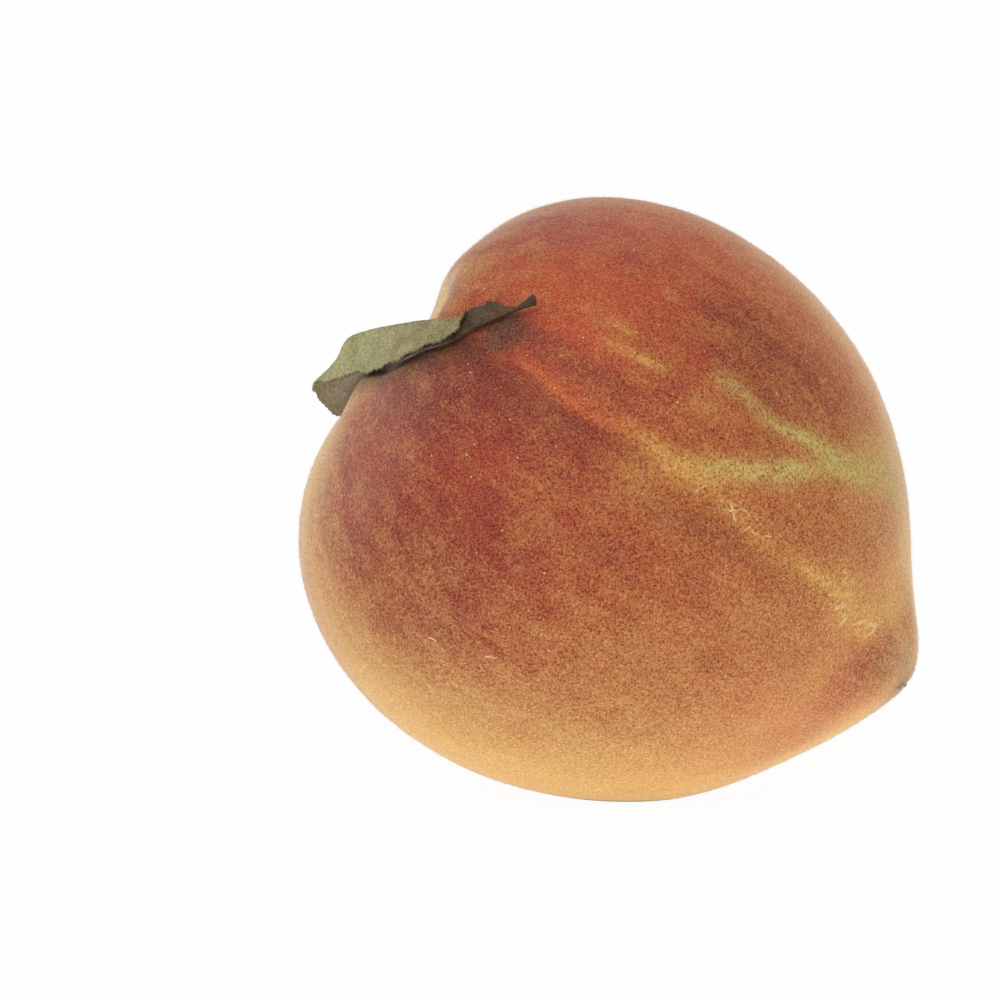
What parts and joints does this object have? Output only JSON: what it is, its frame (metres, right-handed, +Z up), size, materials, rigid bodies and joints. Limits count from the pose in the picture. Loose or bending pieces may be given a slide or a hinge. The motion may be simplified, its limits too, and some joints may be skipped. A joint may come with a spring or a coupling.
{
  "type": "peach",
  "caption": "Ripe peach lying on its cheek, with a suture crease, a soft pointed tip, a stem cavity and a small dried leaf folded over the cavity.",
  "frame": {"origin": "centre of the flat spot that the fruit rests on", "axes": "+Z up, -Z out of the flat spot, -Y towards the side of the suture, +X towards the tip, along the longest extent"},
  "size_m": [0.0774, 0.0732, 0.0746],
  "materials": {
    "peach_skin": "downy matte skin, crimson to golden yellow, with a pale fuzz at grazing angles",
    "dry_leaf": "dry matte olive leaf",
    "stalk_wood": "dry brown bark",
    "dry_style": "dry grey-brown fibre"
  },
  "bodies": {
    "root": {"fruit": "peach_skin", "leaf": "dry_leaf", "stem_stub": "stalk_wood", "style_remnant": "dry_style"}
  },
  "joints": []
}
